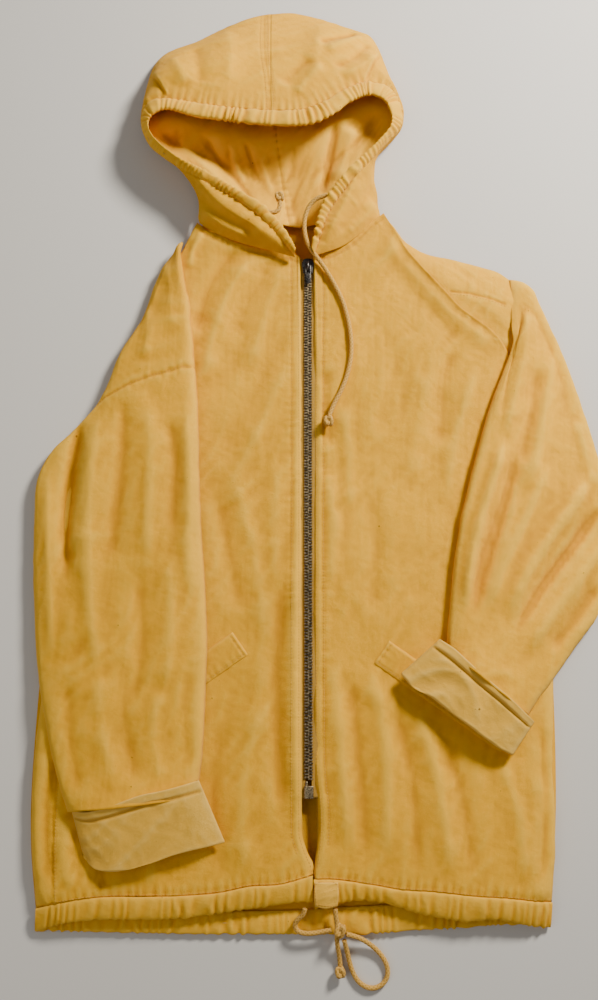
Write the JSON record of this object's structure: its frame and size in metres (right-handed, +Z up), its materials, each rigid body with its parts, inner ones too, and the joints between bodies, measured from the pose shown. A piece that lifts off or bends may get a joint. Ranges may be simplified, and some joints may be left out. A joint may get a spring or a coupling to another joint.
{
  "type": "hooded jacket",
  "caption": "Hooded zip jacket laid flat on its back: drawcord hood, separating metal zip, slanted welt pockets, turned-back cuffs and drawcord hem.",
  "frame": {"origin": "middle of the base of the jacket (without its free cords), on the surface it lies on", "axes": "+Z up from the surface it lies on, +Y towards the hood, +X towards the wearer's left"},
  "size_m": [0.629, 1.1006, 0.0525],
  "materials": {
    "canvas": "garment-dyed ochre cotton twill, soft and slightly worn",
    "canvas_inside": "paler back of the ochre twill",
    "lining_cotton": "plain ochre cotton",
    "cord": "braided cotton cord",
    "zip_tape": "woven tape dyed with the jacket",
    "zip_brass": "dark aged brass",
    "slider_metal": "blackened metal with worn edges"
  },
  "bodies": {
    "torso": {"back_neck_tape": "lining_cotton", "back_panel": "canvas", "front_facing_left": "lining_cotton", "front_facing_right": "lining_cotton", "front_panel_left": "canvas", "front_panel_right": "canvas", "hem_casing_back": "canvas", "hem_casing_front_left": "canvas", "hem_casing_front_right": "canvas", "hem_cord_in_casing": "cord", "hem_cord_left": "cord", "hem_cord_loop": "cord", "hem_cord_right": "cord", "hem_cord_tab": "canvas_inside", "hem_end_knot": "cord", "hem_tie_knot": "cord", "hood_cord_long": "cord", "hood_cord_short": "cord", "hood_knot_long": "cord", "hood_knot_short": "cord", "hood_neck_left": "canvas", "hood_neck_right": "canvas", "pocket_bag_left": "lining_cotton", "pocket_bag_right": "lining_cotton", "pocket_welt_left": "canvas", "pocket_welt_right": "canvas", "zip_box": "zip_brass", "zip_pin": "zip_brass", "zip_tape_left": "zip_tape", "zip_tape_right": "zip_tape", "zip_teeth_left": "zip_brass", "zip_teeth_right": "zip_brass", "zip_top_stop_left": "zip_brass", "zip_top_stop_right": "zip_brass"},
    "hood": {"hood_panel_left": "canvas", "hood_panel_right": "canvas", "hood_casing": "canvas", "hood_cord_in_casing": "cord"},
    "sleeve_left": {"sleeve_left": "canvas", "cuff_left": "canvas_inside"},
    "sleeve_right": {"sleeve_right": "canvas", "cuff_right": "canvas_inside"},
    "slider": {"zip_slider": "slider_metal"},
    "pull": {"zip_pull": "slider_metal"}
  },
  "joints": [
    {"name": "hood_fold", "type": "hinge", "parent": "torso", "child": "hood", "pos_m": [0, 0.2847, 0.028], "axis": [1, 0, 0], "range_deg": [0, 90]},
    {"name": "sleeve_left_swing", "type": "hinge", "parent": "torso", "child": "sleeve_left", "pos_m": [0.214, 0.139, 0.033], "axis": [0, 0, 1], "range_deg": [0, 45]},
    {"name": "sleeve_right_swing", "type": "hinge", "parent": "torso", "child": "sleeve_right", "pos_m": [-0.178, 0.1, 0.033], "axis": [0, 0, -1], "range_deg": [0, 45]},
    {"name": "zip_slide", "type": "slide", "parent": "torso", "child": "slider", "axis": [0, -1, 0], "range_m": [0, 0.555]},
    {"name": "pull_swing", "type": "hinge", "parent": "slider", "child": "pull", "pos_m": [-0.015, 0.194, 0.0214], "axis": [-1, 0, 0], "range_deg": [0, 130]}
  ]
}
